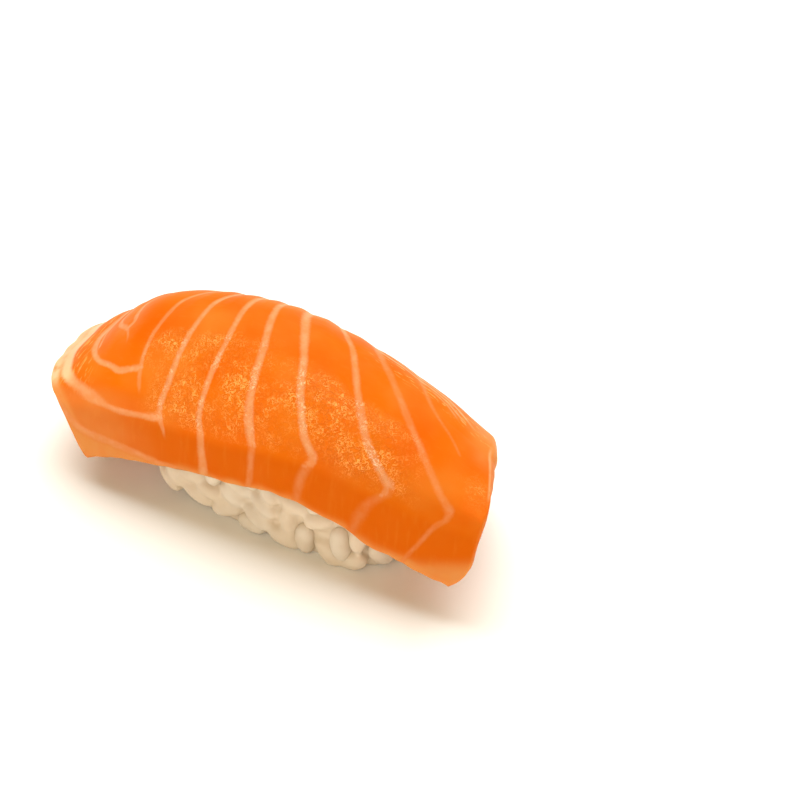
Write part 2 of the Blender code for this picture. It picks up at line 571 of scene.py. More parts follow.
@dataclass(frozen=True)
class Drape:
    """How the slab of salmon lies over the rice."""

    spread: float = 1.15
    arch_left: float = 2.5
    arch_right: float = 1.85
    fall: float = 2.0
    sweep: float = float(np.radians(45.0))
    tail_bulge: float = 1.1
    head_bulge: float = 0.9
    head_corner: float = 4.0
    tail_corner: float = 0.8
    end_belly: float = 1.05
    end_trim: float = 0.25
    crest: Rail = Rail(
        (-42.3, 0.9, 13.1), (-3.8, 0.0, 30.6), (33.7, 0.0, 19.5),
        ((-0.83, 0.12, -0.8), (-0.60, 0.09, 0.35), (0.95, 0.12, -0.9)),
    )
    near_ridge: Rail = Rail(
        (-37.3, -12.5, 13.6), (1.0, -15.7, 19.4), (40.8, -13.3, 17.1),
        ((-0.30, 0.25, -1.1), (0.35, 0.30, 1.2)),
    )
    far_ridge: Rail = Rail(
        (-42.3, 12.4, 9.0), (-8.6, 15.2, 19.0), (25.6, 13.3, 10.5), ((0.25, 0.30, 0.7),)
    )
    spine: Rail = Rail((-40.8, 0.9, 9.8), (-3.8, 0.0, 23.1), (32.6, 0.0, 12.9))
    near_foot: Rail = Rail(
        (-29.8, -14.6, 4.3), (4.3, -16.4, 11.3), (39.2, -15.9, 6.1),
        ((-0.55, 0.30, -0.7), (0.20, 0.22, 0.9), (0.72, 0.24, -1.1), (-0.20, 0.08, -0.3),
         (0.14, 0.06, -0.25), (0.31, 0.06, -0.35), (0.44, 0.05, 0.25), (0.56, 0.07, -0.45)),
    )
    far_foot: Rail = Rail(
        (-38.4, 13.2, 3.9), (-7.6, 16.0, 11.2), (24.8, 14.8, 5.2),
        ((-0.45, 0.25, 0.6), (0.60, 0.25, -0.6)),
    )

    def face(self, u: Array, w: Array, spine: Rail, near: Rail, far: Rail) -> Array:
        """Points on the top face or the underside.

        Args:
            u: How far along.
            w: How far across.
            spine: The face's middle line.
            near: Its near edge.
            far: Its far edge.

        Returns:
            One point a row.
        """
        middle = spine.at(u, self)
        edge = np.where((w < 0.0)[:, None], near.at(u, self), far.at(u, self))
        reach = np.abs(w)
        turned = np.sin(reach * self.sweep) / np.sin(self.sweep)
        blend = np.stack([reach, turned, reach ** self.fall], axis=1)
        points = middle + (edge - middle) * blend
        bulge = np.where(u < 0.0, self.tail_bulge, self.head_bulge)
        points[:, 0] += np.sign(u) * u * u * bulge * 4.0 * reach * (1.0 - reach)
        return points

    def point(self, u: Array, w: Array, depth: Array) -> Array:
        """Points of the slab.

        Args:
            u: How far along.
            w: How far across.
            depth: How deep below the top face.

        Returns:
            One point a row.
        """
        top = self.face(u, w, self.crest, self.near_ridge, self.far_ridge)
        under = self.face(u, w, self.spine, self.near_foot, self.far_foot)
        points = top + (under - top) * depth[:, None]
        corner = np.where(u < 0.0, self.tail_corner, self.head_corner)
        wear = np.abs(u) ** 10 * np.abs(w) ** 6 * (0.20 + 0.80 * depth ** 6)
        tip = np.abs(u) ** 16
        belly = tip * np.clip(1.0 - (w / 0.75) ** 2, 0.0, 1.0) ** 2 * 4.0 * depth * (1.0 - depth)
        trim = tip * (u > 0.0) * (self.end_trim + 0.9 * np.abs(w) * (1.0 - w ** 2))
        shift = self.end_belly * belly - trim - corner * wear
        points[:, 0] += np.sign(u) * shift
        return points

    def underside_height(self, x: Array, y: Array) -> Array:
        """Height of the underside above points of the table.

        Args:
            x: Their places along the slice.
            y: Their places across it.

        Returns:
            One height for each.
        """
        u = np.zeros_like(x)
        w = np.zeros_like(x)
        for _ in range(40):
            points = self.face(u, w, self.spine, self.near_foot, self.far_foot)
            u = np.clip(u + (x - points[:, 0]) / 37.0, -1.0, 1.0)
            w = np.clip(w + (y - points[:, 1]) / 17.0, -1.0, 1.0)
        return self.face(u, w, self.spine, self.near_foot, self.far_foot)[:, 2]

    def underside(self, u: Array, w: Array) -> Array:
        """Points on the underside."""
        return self.point(u, w, np.ones_like(u))

    def skin(self, u: Array, w: Array) -> Array:
        """Points on the outside, where w past -1 or 1 goes down the cut side to -2 or 2.

        Args:
            u: How far along.
            w: How far round.

        Returns:
            One point a row.
        """
        depth = np.clip(np.abs(w) - 1.0, 0.0, 1.0)
        return self.point(u, np.clip(w, -1.0, 1.0), depth)


@dataclass(frozen=True)
class Seam:
    """A seam of fat: a smooth line over the outside of the slice, from one end to the other."""

    path: tuple[tuple[float, float], ...]
    widths: tuple[float, ...]
    richness: float = 1.0
    fades: bool = False

    def line(self, count: int = 160) -> tuple[Array, Array]:
        """Smooth the path.

        Args:
            count: How many points are wanted.

        Returns:
            The points' places along and across, and each one's share of the length.
        """
        knots = np.array(self.path)
        spans = np.linalg.norm(np.diff(knots, axis=0) * np.array([2.0, 1.0]), axis=1)
        marks = np.concatenate([[0.0], np.cumsum(spans)])
        where = np.linspace(0.0, marks[-1], count)
        smooth = np.stack([self._through(marks, knots[:, k], where) for k in (0, 1)], axis=1)
        return smooth, where / marks[-1]

    @staticmethod
    def _through(marks: Array, values: Array, where: Array) -> Array:
        """Interpolate smoothly without overshooting much.

        Args:
            marks: Where the values are known.
            values: The values.
            where: Where they are wanted.

        Returns:
            The interpolated values.
        """
        steps = np.diff(values) / np.diff(marks)
        slopes = np.empty_like(values)
        slopes[0] = steps[0]
        slopes[-1] = steps[-1]
        slopes[1:-1] = (steps[:-1] + steps[1:]) / 2.0
        i = np.clip(np.searchsorted(marks, where, side="right") - 1, 0, len(marks) - 2)
        gap = marks[i + 1] - marks[i]
        t = (where - marks[i]) / gap
        start = (2.0 * t ** 3 - 3.0 * t ** 2 + 1.0) * values[i]
        leave = (t ** 3 - 2.0 * t ** 2 + t) * gap * slopes[i]
        arrive = (t ** 3 - t ** 2) * gap * slopes[i + 1]
        finish = (3.0 * t ** 2 - 2.0 * t ** 3) * values[i + 1]
        return start + leave + arrive + finish


@dataclass(frozen=True)
class Marbling:
    """All the seams of fat in the slice, nested like chevrons from the tail to the head."""

    seams: tuple[Seam, ...] = (
        Seam(((-0.69, -0.28), (-0.67, -0.22), (-0.68, -0.07), (-0.67, 0.16), (-0.60, 0.35),
              (-0.53, 0.65), (-0.50, 1.0), (-0.52, 1.9)), (0.50, 0.36), 0.7),
        Seam(((-0.69, -0.28), (-0.74, -0.17), (-0.76, -0.02), (-0.74, 0.12), (-0.70, 0.4),
              (-0.68, 0.8)), (0.50, 0.25), 0.6, True),
        Seam(((-0.69, -0.27), (-0.665, -0.40), (-0.655, -0.50)), (0.30, 0.20), 0.45, True),
        Seam(((-0.57, -0.71), (-0.55, -0.45), (-0.52, -0.22), (-0.48, 0.06), (-0.43, 0.22),
              (-0.36, 0.5), (-0.33, 1.0), (-0.36, 2.0)), (0.40, 0.46, 0.36, 0.30), 0.6),
        Seam(((-0.57, -0.71), (-0.62, -0.73), (-0.67, -0.74), (-0.72, -0.68), (-0.77, -0.62),
              (-0.81, -0.50), (-0.83, -0.36), (-0.835, -0.22), (-0.82, -0.02), (-0.78, 0.2),
              (-0.76, 0.6), (-0.76, 1.0), (-0.78, 1.8)),
             (0.55, 0.42, 0.90, 1.05, 1.00, 0.80, 0.70), 0.95),
        Seam(((-0.80, -0.40), (-0.805, -0.18), (-0.79, 0.04), (-0.75, 0.3)), (0.30, 0.30), 0.6,
             True),
        Seam(((-0.57, -0.70), (-0.565, -0.80), (-0.555, -0.92)), (0.45, 0.30), 0.5, True),
        Seam(((-0.48, -1.01), (-0.462, -0.93), (-0.437, -0.82), (-0.420, -0.70),
              (-0.400, -0.53), (-0.376, -0.34), (-0.361, -0.24), (-0.332, 0.0), (-0.29, 0.25), (-0.24, 0.6), (-0.20, 1.0), (-0.22, 2.0)),
             (0.56, 0.50, 0.48, 0.44, 0.40), 0.85),
        Seam(((-0.48, -1.01), (-0.52, -1.06), (-0.57, -1.09), (-0.63, -1.12),
              (-0.69, -1.12), (-0.75, -1.06), (-0.81, -0.98),
              (-0.88, -0.86), (-0.92, -0.70), (-0.935, -0.50), (-0.94, -0.25), (-0.93, 0.1),
              (-0.91, 0.6), (-0.91, 1.5)),
             (0.72, 0.75, 0.85, 1.10, 1.60, 1.60, 1.30, 1.00), 0.95),
        Seam(((-0.48, -1.0), (-0.478, -1.2), (-0.482, -1.45)), (0.50, 0.25), 0.7, True),
        Seam(((-0.355, -1.98), (-0.338, -1.8), (-0.298, -1.4), (-0.275, -1.05),
              (-0.270, -0.92), (-0.258, -0.82), (-0.240, -0.69), (-0.218, -0.54),
              (-0.195, -0.37), (-0.180, -0.16), (-0.168, 0.1), (-0.155, 0.35), (-0.10, 0.7),
              (-0.08, 1.0), (-0.10, 2.0)), (0.85, 0.60, 0.46, 0.56, 0.50, 0.48), 0.85),
        Seam(((-0.10, -1.98), (-0.02, -1.5), (0.022, -1.2), (0.03, -1.05)), (0.50, 0.60, 0.55),
             0.42),
        Seam(((0.03, -1.05), (0.028, -0.98), (0.020, -0.9), (0.010, -0.75), (0.016, -0.54),
              (0.024, -0.37), (0.010, -0.17), (-0.012, 0.10), (-0.018, 0.3), (0.0, 0.6),
              (0.03, 1.0), (0.02, 2.0)), (0.70, 0.60, 0.52, 0.46, 0.44, 0.44), 0.9),
        Seam(((0.215, -1.99), (0.232, -1.80), (0.290, -1.3), (0.312, -1.13)), (0.60, 0.80, 0.80),
             0.30),
        Seam(((0.306, -1.17), (0.322, -1.07), (0.338, -0.98)), (0.80, 0.70), 0.8),
        Seam(((0.338, -0.98), (0.302, -0.89), (0.281, -0.77), (0.264, -0.64), (0.248, -0.49),
              (0.236, -0.31), (0.210, -0.11), (0.172, 0.16), (0.152, 0.35), (0.15, 0.7), (0.17, 1.0), (0.15, 2.0)),
             (0.62, 0.56, 0.72, 0.62, 0.50, 0.50), 0.95),
        Seam(((0.487, -1.99), (0.530, -1.58), (0.572, -1.30), (0.608, -1.12), (0.645, -0.97)),
             (0.80, 0.95, 0.70), 0.20),
        Seam(((0.613, -1.09), (0.630, -1.02), (0.645, -0.96)), (0.60, 0.75), 0.7),
        Seam(((0.645, -0.96), (0.612, -0.89), (0.577, -0.80), (0.547, -0.71), (0.526, -0.62),
              (0.505, -0.49), (0.478, -0.33), (0.451, -0.14), (0.414, 0.09), (0.355, 0.32),
              (0.30, 0.6), (0.29, 1.0), (0.27, 2.0)),
             (0.62, 0.56, 0.50, 0.52, 0.46, 0.44), 0.75),
        Seam(((0.715, -1.99), (0.737, -1.80), (0.778, -1.55), (0.826, -1.20), (0.850, -1.06),
              (0.868, -0.945)), (0.38, 0.38, 0.50), 0.30),
        Seam(((0.868, -0.945), (0.834, -0.87), (0.794, -0.73), (0.756, -0.59), (0.722, -0.46),
              (0.682, -0.32), (0.641, -0.16), (0.596, 0.01), (0.533, 0.23), (0.48, 0.5),
              (0.46, 1.0), (0.44, 2.0)),
             (0.55, 0.55, 0.62, 0.60, 0.50, 0.48), 0.42),
        Seam(((0.875, -0.30), (0.846, -0.19), (0.822, -0.13), (0.781, -0.04), (0.740, 0.08),
              (0.703, 0.25), (0.66, 0.6), (0.64, 1.0), (0.62, 2.0)),
             (0.25, 0.55, 0.60, 0.50), 0.26),
        Seam(((-0.995, -1.12), (-0.99, -1.28), (-0.975, -1.44), (-0.94, -1.58),
              (-0.84, -1.70), (-0.76, -1.78), (-0.68, -1.84), (-0.58, -1.92),
              (-0.46, -1.97)), (0.90, 0.80, 0.62, 0.50), 0.70),
    )
    hairs: tuple[Seam, ...] = (
        Seam(((0.46, 0.60), (0.52, 0.42), (0.60, 0.38), (0.69, 0.34), (0.75, 0.32),
              (0.81, 0.28), (0.86, 0.21), (0.90, 0.13)), (0.11, 0.11), 0.9),
        Seam(((0.50, 0.52), (0.62, 0.46), (0.70, 0.42), (0.79, 0.38), (0.85, 0.33),
              (0.90, 0.25), (0.93, 0.18)), (0.13, 0.13), 1.0),
        Seam(((0.72, 0.27), (0.77, 0.25), (0.82, 0.20), (0.86, 0.12)), (0.09, 0.09), 0.5),
        Seam(((0.992, -0.70), (0.992, -0.40), (0.992, 0.0), (0.992, 0.20)), (0.08, 0.08), 0.7),
    )
    under: tuple[Seam, ...] = (
        Seam(((-0.46, -1.0), (-0.34, 0.0), (-0.22, 1.0)), (0.34, 0.34), 0.5),
        Seam(((-0.34, -1.0), (-0.24, 0.0), (-0.10, 1.0)), (0.44, 0.40), 0.7),
        Seam(((-0.09, -1.0), (-0.06, 0.0), (0.02, 1.0)), (0.44, 0.40), 0.7),
        Seam(((0.22, -1.0), (0.16, 0.0), (0.15, 1.0)), (0.40, 0.46), 0.6),
        Seam(((0.49, -1.0), (0.37, 0.0), (0.27, 1.0)), (0.34, 0.38), 0.5),
        Seam(((0.72, -1.0), (0.56, 0.0), (0.44, 1.0)), (0.34, 0.40), 0.45),
        Seam(((0.62, 1.0), (0.74, 0.3), (0.84, -0.5)), (0.36, 0.30), 0.4, True),
        Seam(((-0.36, 1.0), (-0.50, 0.3), (-0.60, -0.5)), (0.36, 0.30), 0.6, True),
        Seam(((-0.52, 1.0), (-0.66, 0.3), (-0.74, -0.5)), (0.40, 0.30), 0.6, True),
        Seam(((-0.78, 1.0), (-0.84, 0.3), (-0.86, -0.5)), (0.50, 0.40), 0.6, True),
    )

    @staticmethod
    def _reach(line: Array, points: Array, limit: float) -> tuple[Array, Array, Array]:
        """Find the points near a line.

        Args:
            line: Points on the line.
            points: Points to measure.
            limit: How near, in millimetres.

        Returns:
            The near points' numbers, the nearest place on the line for each, and how far it is.
        """
        boxed = np.all((points > line.min(axis=0) - limit) & (points < line.max(axis=0) + limit),
                       axis=1)
        near = np.flatnonzero(boxed)
        where = np.zeros(len(near), dtype=int)
        gap = np.zeros(len(near))
        for start in range(0, len(near), 8000):
            part = slice(start, start + 8000)
            gaps = np.linalg.norm(points[near[part], None, :] - line[None, :, :], axis=2)
            where[part] = gaps.argmin(axis=1)
            gap[part] = gaps.min(axis=1)
        return near, where, gap

    def measure(self, drape: Drape, points: Array) -> dict[str, Array]:
        """Tell how each point lies to the seams and hairs.

        Args:
            drape: The slice's shape.
            points: Points on the slice, in millimetres.

        Returns:
            For each point the distance to the nearest seam in half widths of it, at most 8,
            that seam's richness, how much the seam draws the surface in, and how much of a
            hair lies there.
        """
        seam = np.full(len(points), 8.0)
        richness = np.zeros(len(points))
        sink = np.zeros(len(points))
        lines = [(each, drape.skin) for each in self.seams]
        lines += [(each, drape.underside) for each in self.under]
        for each, face in lines:
            places, share = each.line()
            half = np.interp(share, np.linspace(0.0, 1.0, len(each.widths)), each.widths)
            fat = np.full(len(share), each.richness)
            if each.fades:
                fat = fat * rise(1.0 - share, 0.0, 0.5)
            near, where, gap = self._reach(face(places[:, 0], places[:, 1]), points, 6.0)
            scaled = gap / half[where]
            better = scaled < seam[near]
            seam[near[better]] = scaled[better]
            richness[near[better]] = fat[where[better]]
            sink[near] = np.maximum(sink[near], np.exp(-(gap / 2.3) ** 2) * fat[where])
        hair = np.zeros(len(points))
        for each in self.hairs:
            places, share = each.line()
            near, where, gap = self._reach(drape.skin(places[:, 0], places[:, 1]), points, 1.0)
            ends = rise(share[where], 0.0, 0.2) * rise(1.0 - share[where], 0.0, 0.2)
            strand = fade(gap, 4.0 * each.widths[0], Law.STEP) * each.richness * ends
            hair[near] = np.maximum(hair[near], strand)
        return {"seam": seam, "richness": richness, "sink": sink, "hair": hair}


# ---------------------------------------------------------------------------------------------
# Meshes


@dataclass
class Shell:
    """A closed mesh as plain arrays, before it becomes an object."""

    points: Array
    quads: Array

    def links(self) -> Array:
        """The two ends of every edge, each edge once."""
        around = np.roll(self.quads, -1, axis=1)
        pairs = np.stack([self.quads, around], axis=2).reshape(-1, 2)
        return np.unique(np.sort(pairs, axis=1), axis=0)

    def soften(self, amount: Array, rounds: int) -> None:
        """Draw points towards their neighbours, which rounds edges off.

        Args:
            amount: How much each point takes part, from 0 to 1.
            rounds: How many times.
        """
        ends = self.links()
        count = len(self.points)
        first = np.concatenate([ends[:, 0], ends[:, 1]])
        second = np.concatenate([ends[:, 1], ends[:, 0]])
        degree = np.bincount(first, minlength=count)
        for _ in range(rounds):
            mean = np.stack(
                [np.bincount(first, self.points[second, k], count) / degree for k in range(3)],
                axis=1,
            )
            self.points += (mean - self.points) * amount[:, None] * 0.6

    def normals(self) -> Array:
        """Outward direction at each point."""
        corners = self.points[self.quads]
        face = np.cross(corners[:, 2] - corners[:, 0], corners[:, 3] - corners[:, 1])
        total = np.zeros_like(self.points)
        for corner in range(self.quads.shape[1]):
            for k in range(3):
                total[:, k] += np.bincount(
                    self.quads[:, corner], face[:, k], len(self.points)
                )
        return total / np.maximum(np.linalg.norm(total, axis=1, keepdims=True), 1e-12)

    def build(self, name: str, attributes: dict[str, Array]) -> bpy.types.Object:
        """Make the object.

        Args:
            name: Its name.
            attributes: Numbers to store on its points, by name.

        Returns:
            The object, shaded smooth.
        """
        mesh = bpy.data.meshes.new(name)
        mesh.from_pydata((self.points * MM).tolist(), [], self.quads.tolist())
        mesh.shade_smooth()
        for key, values in attributes.items():
            layer = mesh.attributes.new(key, "FLOAT", "POINT")
            layer.data.foreach_set("value", values.astype(np.float32))
        mesh.update()
        made = bpy.data.objects.new(name, mesh)
        bpy.context.scene.collection.objects.link(made)
        return made


@dataclass
class Lattice:
    """The outside of a box cut into cells along its three axes."""

    cells: tuple[int, int, int]
    places: Array = field(init=False)
    quads: Array = field(init=False)

    def __post_init__(self) -> None:
        """Number the points of the outside and join them into quads."""
        nx, ny, nz = self.cells
        grid = np.stack(np.meshgrid(*(np.arange(n + 1) for n in self.cells), indexing="ij"), -1)
        top = np.array(self.cells)
        outside = np.any((grid == 0) | (grid == top), axis=-1)
        number = np.full(outside.shape, -1)
        number[outside] = np.arange(outside.sum())
        self.places = grid[outside] / top
        sheets = []
        for sheet, flip in (
            (number[0], True), (number[nx], False), (number[:, 0], False),
            (number[:, ny], True), (number[:, :, 0], True), (number[:, :, nz], False),
        ):
            corners = [sheet[:-1, :-1], sheet[1:, :-1], sheet[1:, 1:], sheet[:-1, 1:]]
            quads = np.stack(corners, axis=-1).reshape(-1, 4)
            sheets.append(quads[:, ::-1] if flip else quads)
        self.quads = np.concatenate(sheets)


# ---------------------------------------------------------------------------------------------
# The two pieces


@dataclass
class SalmonSlice:
    """The slice of salmon, with its seams of fat, its puffed muscle and its wet grain with painted glints, sheen
    and shade.
    """

    drape: Drape = field(default_factory=Drape)
    marbling: Marbling = field(default_factory=Marbling)
    finish: SalmonFinish = field(default_factory=SalmonFinish)
    cells: tuple[int, int, int] = (310, 132, 18)
    edge_reach: float = 0.8
    ridge_reach: float = 5.0
    groove: float = 0.12
    puff: float = 0.30
    unevenness: float = 0.14
    ragged_end: float = 0.42
    pale_wedge: tuple[tuple[float, ...], tuple[float, ...]] = (
        (-1.0, -0.975, -0.94, -0.84, -0.76, -0.68, -0.58, -0.46, -0.30),
        (0.24, 0.44, 0.58, 0.70, 0.78, 0.84, 0.92, 0.97, 1.05),
    )

    def _coordinates(self, lattice: Lattice) -> tuple[Array, Array, Array]:
        """Spread the lattice over the slab, finer near its edges.

        Args:
            lattice: The box lattice.

        Returns:
            u, w and depth of each point.
        """
        u = np.sin((lattice.places[:, 0] * 2.0 - 1.0) * 1.0) / np.sin(1.0)
        w = np.sin((lattice.places[:, 1] * 2.0 - 1.0) * 0.9) / np.sin(0.9)
        return u, w, 1.0 - lattice.places[:, 2]

    def _edge_share(self, u: Array, w: Array, depth: Array) -> Array:
        """Tell how near each point is to a cut edge.

        Args:
            u: How far along.
            w: How far across.
            depth: How deep.

        Returns:
            1 on an edge, falling to 0 inside the faces.
        """
        along = (1.0 - np.abs(u)) * 39.0
        across = (1.0 - np.abs(w)) * 18.0
        deep = np.minimum(depth, 1.0 - depth) * 7.0
        two = np.sort(np.stack([along, across, deep], axis=1), axis=1)
        return fade(two[:, 1], 2.2 * self.edge_reach, Law.STEP)

    def _ridge_share(self, u: Array, w: Array, depth: Array) -> Array:
        """Tell how near each point is to one of the two long ridges.

        Args:
            u: How far along.
            w: How far across.
            depth: How deep.

        Returns:
            1 on a ridge, falling to 0 away from it and at the slice's ends.
        """
        across = fade((1.0 - np.abs(w)) * 18.0, self.ridge_reach, Law.STEP)
        down = fade(depth * 8.0, self.ridge_reach * 0.8, Law.STEP)
        crisp = 0.8 * rise(np.abs(u), 0.94, 1.0) + 0.15 * rise(u, 0.7, 0.94) * (w > 0.0)
        return across * down * (1.0 - crisp)

    def _masks(self, u: Array, w: Array, depth: Array, points: Array) -> dict[str, Array]:
        """Work out where each look of the flesh goes.

        Args:
            u: How far along.
            w: How far across.
            depth: How deep.
            points: The points themselves.

        Returns:
            The named masks, each from 0 to 1.
        """
        ragged = cloud(points, 3.0, 1.0)
        patches = cloud(points, 5.5, 2.0)
        # Where the shaded cut-side colour goes: faintly over the top near the ridges, fully down the cut sides.
        side = rise(np.abs(w), 0.86, 1.0) * 0.35 + rise(np.abs(w), 0.97, 1.0) * rise(depth, 0.0, 0.4)
        top = fade(depth, 0.14, Law.STEP)
        # Where the wet grain lies, which carries painted glints, sheen and shade: the near flank, the far crest
        # and a spot by the head.
        upper = 0.28 + 0.22 * np.abs(u - 0.05) - 0.10 * ragged
        grain = rise(-w, upper - 0.08, upper + 0.10) * rise(w, -1.04, -0.92)
        grain *= rise(u + 0.05 * ragged, -0.62, -0.42) * rise(-u, -0.80, -0.62)
        far_grain = rise(w, 0.35, 0.7) * rise(-w, -0.98, -0.80) * rise(-np.abs(u), -0.85, -0.4)
        spot = fade(np.hypot((u - 0.955) * 3.2, w + 0.60), 0.17)
        grain = grain * np.clip(0.75 + 0.9 * patches, 0.0, 1.0) + 0.45 * spot
        grain += far_grain * np.clip(0.35 + 1.1 * patches, 0.0, 0.8)
        foot = rise(depth + 0.06 * ragged, 0.80, 1.0) * rise(np.abs(w), 0.90, 0.99)
        cut = np.interp(u, *self.pale_wedge)
        wedge = rise(depth - cut, -0.02, 0.08) * rise(np.abs(w), 0.95, 0.99)
        corner = rise(u, 0.86, 0.97) * rise(w + 0.2 * ragged, -0.45, 0.25)
        low = rise(u + 0.7 * (depth - 1.0), 0.58, 0.82) * rise(np.abs(w), 0.90, 0.99)
        end_rim = rise(np.abs(u), 0.985, 1.0)
        left = rise(-u, 0.48, 0.85) * rise(np.abs(w), 0.85, 1.0)
        # Paler where the flesh is thin: the bottom rims, the ends, the head corner and the left side, partly
        # painted light shining through the thin edges.
        thin = 0.85 * foot + 0.7 * rise(-u, 0.92, 0.98) + 0.75 * wedge + 0.6 * corner
        thin += 1.1 * low + 0.3 * end_rim + 0.42 * left
        tail = rise(-u, 0.86, 0.93) * rise(w, -0.95, -0.72)
        tip = 0.9 * rise(-u, 0.945, 0.97) * rise(w, -1.0, -0.75) * rise(-w, -0.9, -0.3)
        streak = rise(-u, 0.76, 0.86) * rise(u, -0.985, -0.93) * rise(w, -1.05, -0.7)
        combed = rise(u, 0.40, 0.60) * rise(-np.abs(w - 0.26), -0.22, -0.06)
        shade = 0.40 + 0.9 * cloud(points, 6.0, 3.0)
        # Painted light on the near flank towards the ridge, fading out towards the head end.
        glow = rise(-w, 0.25, 0.75) * fade(depth, 0.35, Law.STEP) * rise(-u, -0.70, 0.0)
        return {
            "grain": np.clip(grain, 0.0, 1.0) * top,
            "side": np.clip(side, 0.0, 1.0),
            "thin": np.clip(thin * (1.0 + 0.3 * ragged), 0.0, 0.90),
            "tail": np.clip(tail, 0.0, 0.9),
            "tip": np.clip(tip, 0.0, 1.0),
            "streak": np.clip(streak, 0.0, 1.0) * top,
            "combed": np.clip(combed, 0.0, 1.0) * top,
            "shade": np.clip(shade, 0.0, 1.0),
            "glow": np.clip(glow, 0.0, 1.0),
        }

    def build(self) -> bpy.types.Object:
        """Make the slice and put its finish on.

        Returns:
            The slice.
        """
        lattice = Lattice(self.cells)
        u, w, depth = self._coordinates(lattice)
        sharp = self.drape.point(u, w, depth)
        sharp[:, 0] += np.sign(u) * np.abs(u) ** 12 * self.ragged_end * cloud(
            sharp * np.array([0.0, 1.0, 1.0]) + np.sign(u)[:, None] * 20.0, 3.4, 9.0)
        shell = Shell(sharp.copy(), lattice.quads)
        shell.soften(self._ridge_share(u, w, depth), 150)
        shell.soften(self._edge_share(u, w, depth), 10)

        looks = self._masks(u, w, depth, shell.points)
        looks |= self.marbling.measure(self.drape, sharp)
        sink = looks.pop("sink")

        under = rise(depth, 0.80, 1.0) * rise(-np.abs(w), -0.9, -0.8)
        foot = rise(depth, 0.70, 1.0) * rise(np.abs(w), 0.90, 1.0)
        hollow = self.groove * fade(looks["seam"], 1.1) * looks["richness"] + self.puff * sink
        uneven = cloud(shell.points, 7.0, 4.0) * 0.7 + cloud(shell.points, 2.2, 5.0) * 0.3
        wet = cloud(shell.points, 0.9, 6.0) * 0.06 * looks["grain"]
        lift = (self.unevenness * uneven - hollow + wet) * (1.0 - 0.8 * under) * (1.0 - 0.8 * foot)
        shell.points += shell.normals() * lift[:, None]

        shell.points[:, 2] += foot * (0.16 + 0.16 * rise(u, 0.4, 0.8)) * cloud(
            shell.points, 1.8, 8.0)

        made = shell.build("salmon_flesh", looks)
        made.data.materials.append(self.finish.material())
        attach(made, "root")
        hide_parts("salmon_slice")
        return made


@dataclass(frozen=True)
class Layer:
    """How one layer of rice grains lies."""

    sunk: tuple[float, float]
    spacing: float
    tilt: float
    fineness: int
    scattered: bool = False


